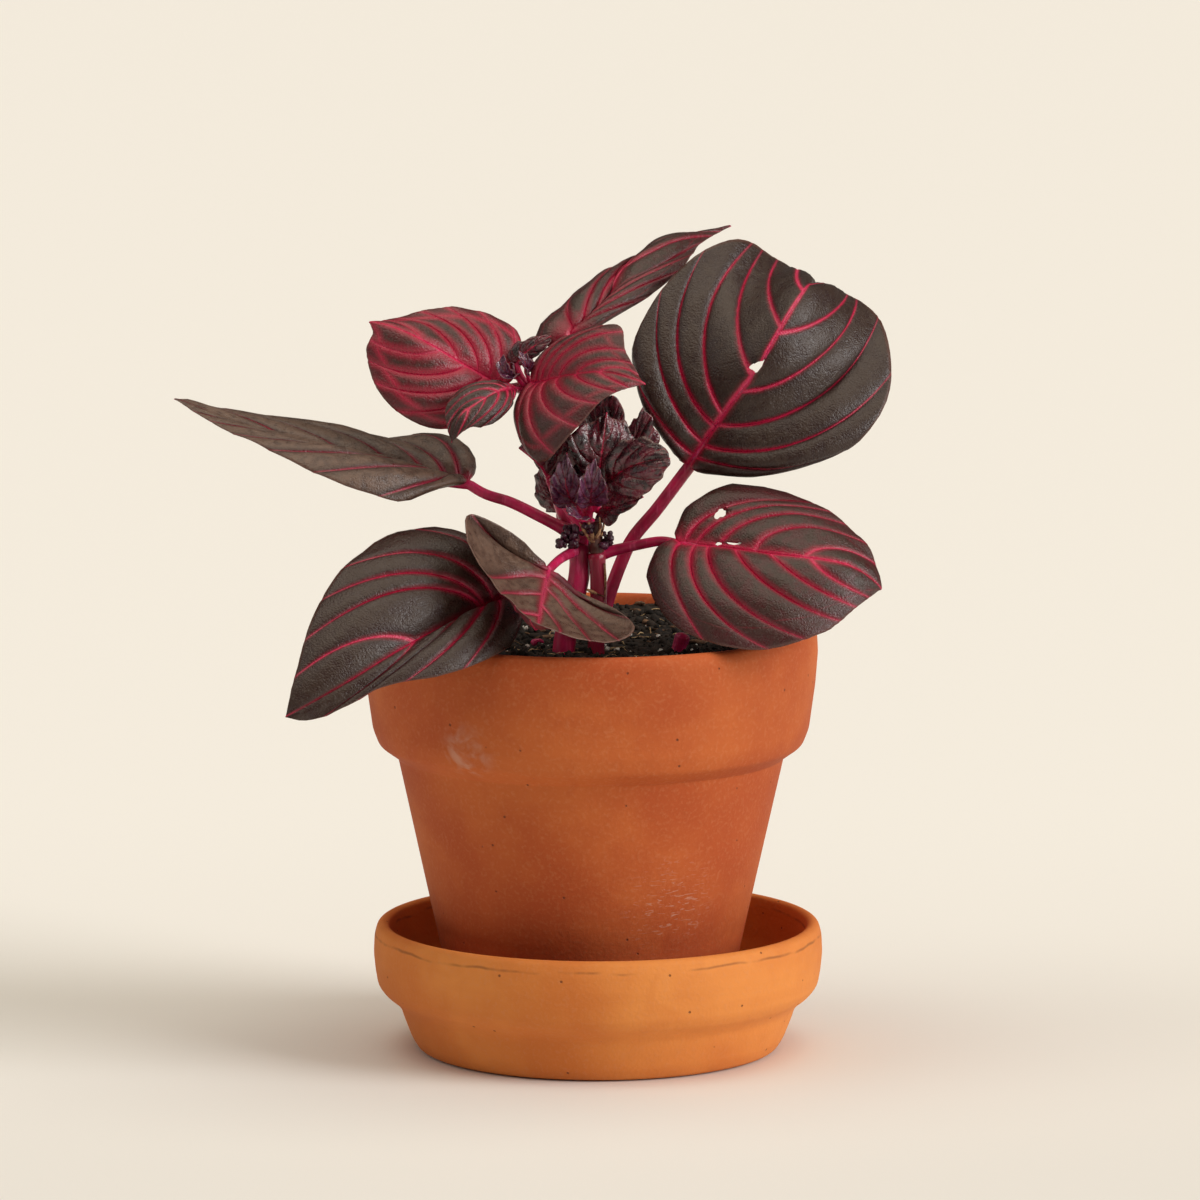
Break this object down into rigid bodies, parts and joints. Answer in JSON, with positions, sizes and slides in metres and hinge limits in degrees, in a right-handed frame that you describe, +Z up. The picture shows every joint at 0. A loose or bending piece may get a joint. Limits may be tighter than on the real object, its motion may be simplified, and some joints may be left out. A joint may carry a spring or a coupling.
{
  "type": "potted plant",
  "caption": "Young bloodleaf with dark, crimson-veined leaves on red stems, in a tapered terracotta pot with a rim band, standing in a matching terracotta saucer.",
  "frame": {"origin": "middle of the saucer's flat underside, on the surface that the part stands on", "axes": "+Z up; the picture looks along +Y, so -Y is the plant's front and +X is its right"},
  "size_m": [0.1682, 0.1182, 0.1919],
  "materials": {
    "saucer_clay": "matte",
    "pot_clay": "matte",
    "potting_soil": "matte",
    "red_stem": "satin",
    "dry_stem": "matte",
    "dark_leaf": "satin",
    "red_leaf": "satin",
    "purple_leaf": "satin"
  },
  "bodies": {
    "root": {"saucer": "saucer_clay", "pot": "pot_clay", "soil": "potting_soil", "stem_left": "red_stem", "stem_right": "red_stem", "side_shoot": "red_stem", "crown_shoot": "red_stem", "dried_stub": "dry_stem", "cut_stub": "red_stem", "leaf_upper_right": "dark_leaf", "leaf_lower_right": "dark_leaf", "leaf_far_left": "dark_leaf", "leaf_upper_left": "red_leaf", "leaf_small_dark": "dark_leaf", "leaf_young_right": "red_leaf", "leaf_top": "dark_leaf", "leaf_lower_left": "dark_leaf", "leaf_front": "dark_leaf", "crown_leaf_upright": "dark_leaf", "crown_leaf_back": "dark_leaf", "crown_leaf_far_right": "dark_leaf", "crown_leaf_right": "dark_leaf", "crown_leaf_low": "dark_leaf", "crown_leaf_left": "red_leaf", "crown_leaf_shaded": "dark_leaf", "crown_bud_left": "purple_leaf", "crown_bud_front": "purple_leaf", "crown_bud_low": "purple_leaf", "tip_leaf_dark": "dark_leaf", "tip_leaf_left": "purple_leaf", "tip_leaf_right": "purple_leaf"}
  },
  "joints": []
}
